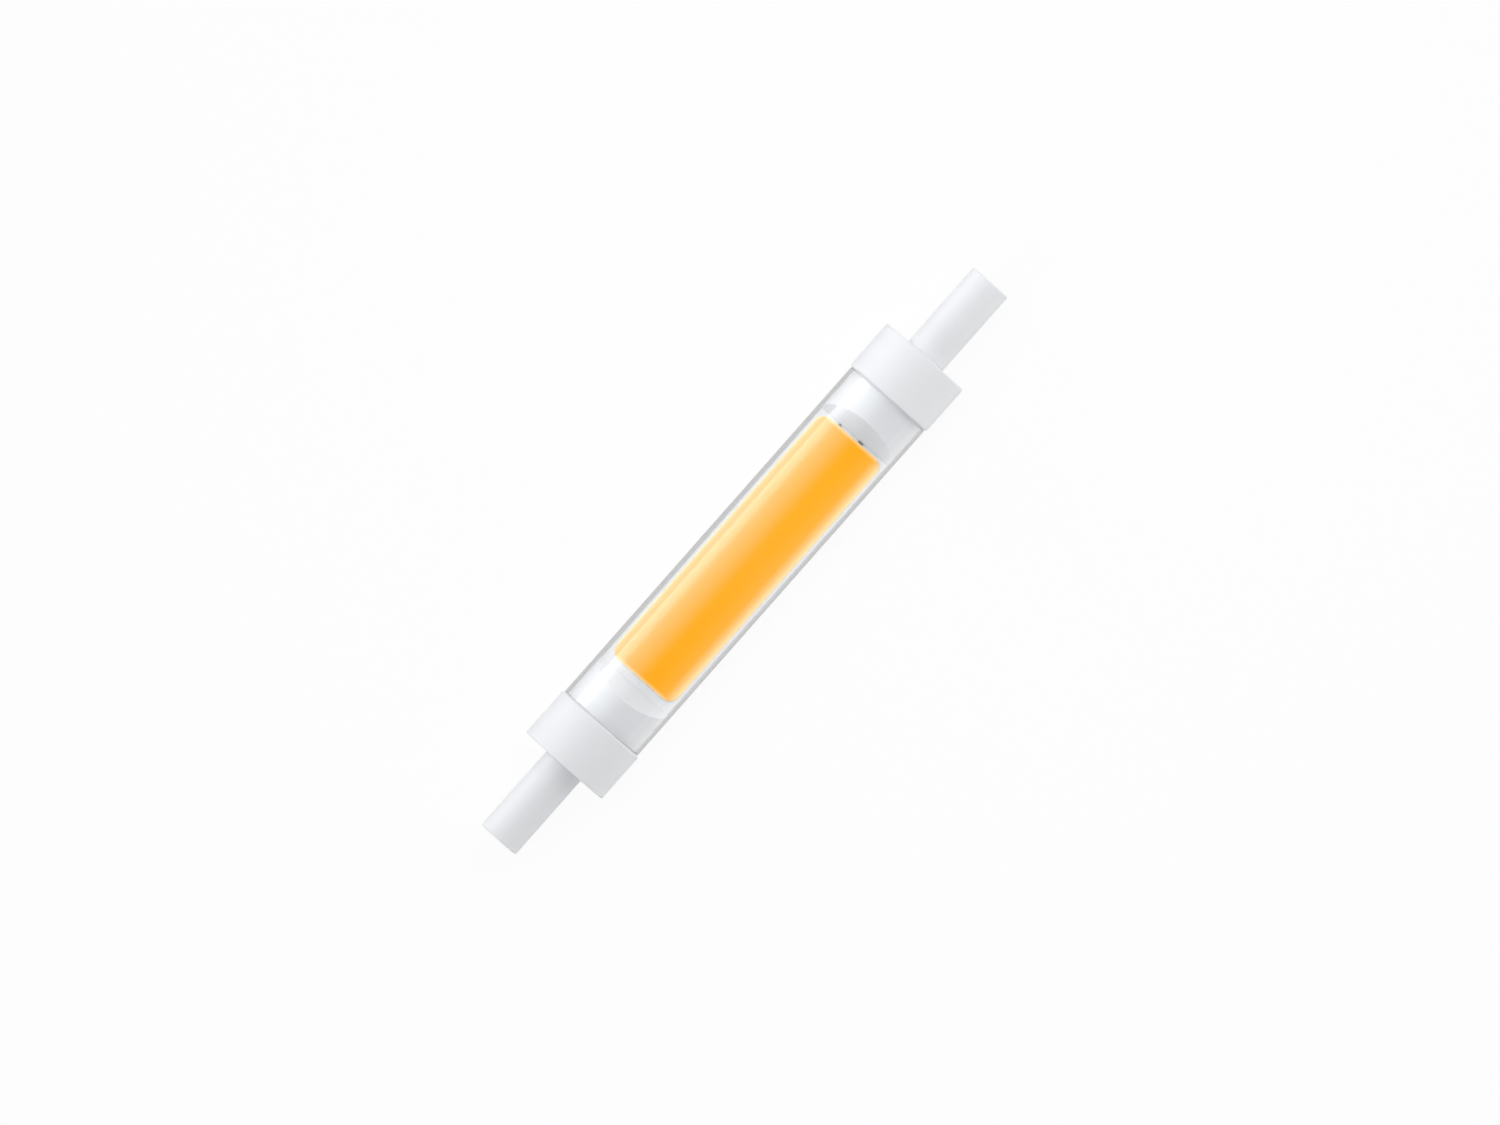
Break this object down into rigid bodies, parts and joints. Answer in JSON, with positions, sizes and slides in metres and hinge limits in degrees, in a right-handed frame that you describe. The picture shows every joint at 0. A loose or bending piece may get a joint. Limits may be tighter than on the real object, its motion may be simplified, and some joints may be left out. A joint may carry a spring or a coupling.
{
  "type": "linear led bulb",
  "caption": "Linear LED lamp: a clear glass tube with a long yellow light strip on a flat white board, and a white end cap with a recessed-contact pin at each end.",
  "frame": {"origin": "centre of the lamp, on its axis, half-way between the pins' ends", "axes": "+X along the lamp towards the right pin, +Z the way the light strip faces, +Y across the board"},
  "size_m": [0.118, 0.016, 0.016],
  "materials": {
    "tube_glass": "clear, polished",
    "cap_plastic": "satin white moulding",
    "plug_plastic": "fine matt white moulding",
    "board_white": "plain white face",
    "light_silicone": "smooth yellow-orange cast silicone",
    "chip_crystal": "bare chips",
    "nickel": "nickel plated",
    "tinned_metal": "tinned",
    "seal_silicone": "translucent grey bead",
    "driver_board_resin": "green solder mask",
    "package_black": "black moulded package",
    "fuse_body": "grey-green lacquer",
    "varistor_body": "blue coating",
    "capacitor_sleeve": "bare can"
  },
  "bodies": {
    "root": {"bridge_rectifier": "package_black", "driver_chip": "package_black", "fuse_resistor": "fuse_body", "glass_tube": "tube_glass", "led_board": "board_white", "led_chips": "chip_crystal", "left_contact": "nickel", "left_driver_board": "driver_board_resin", "left_end_cap": "cap_plastic", "left_lead_wire": "tinned_metal", "left_link_strips": "tinned_metal", "left_plug": "plug_plastic", "left_seal": "seal_silicone", "light_strip": "light_silicone", "right_contact": "nickel", "right_driver_board": "driver_board_resin", "right_end_cap": "cap_plastic", "right_lead_wire": "tinned_metal", "right_link_strips": "tinned_metal", "right_plug": "plug_plastic", "right_seal": "seal_silicone", "sense_resistors": "package_black", "smoothing_capacitor": "capacitor_sleeve", "surge_varistor": "varistor_body"}
  },
  "joints": []
}
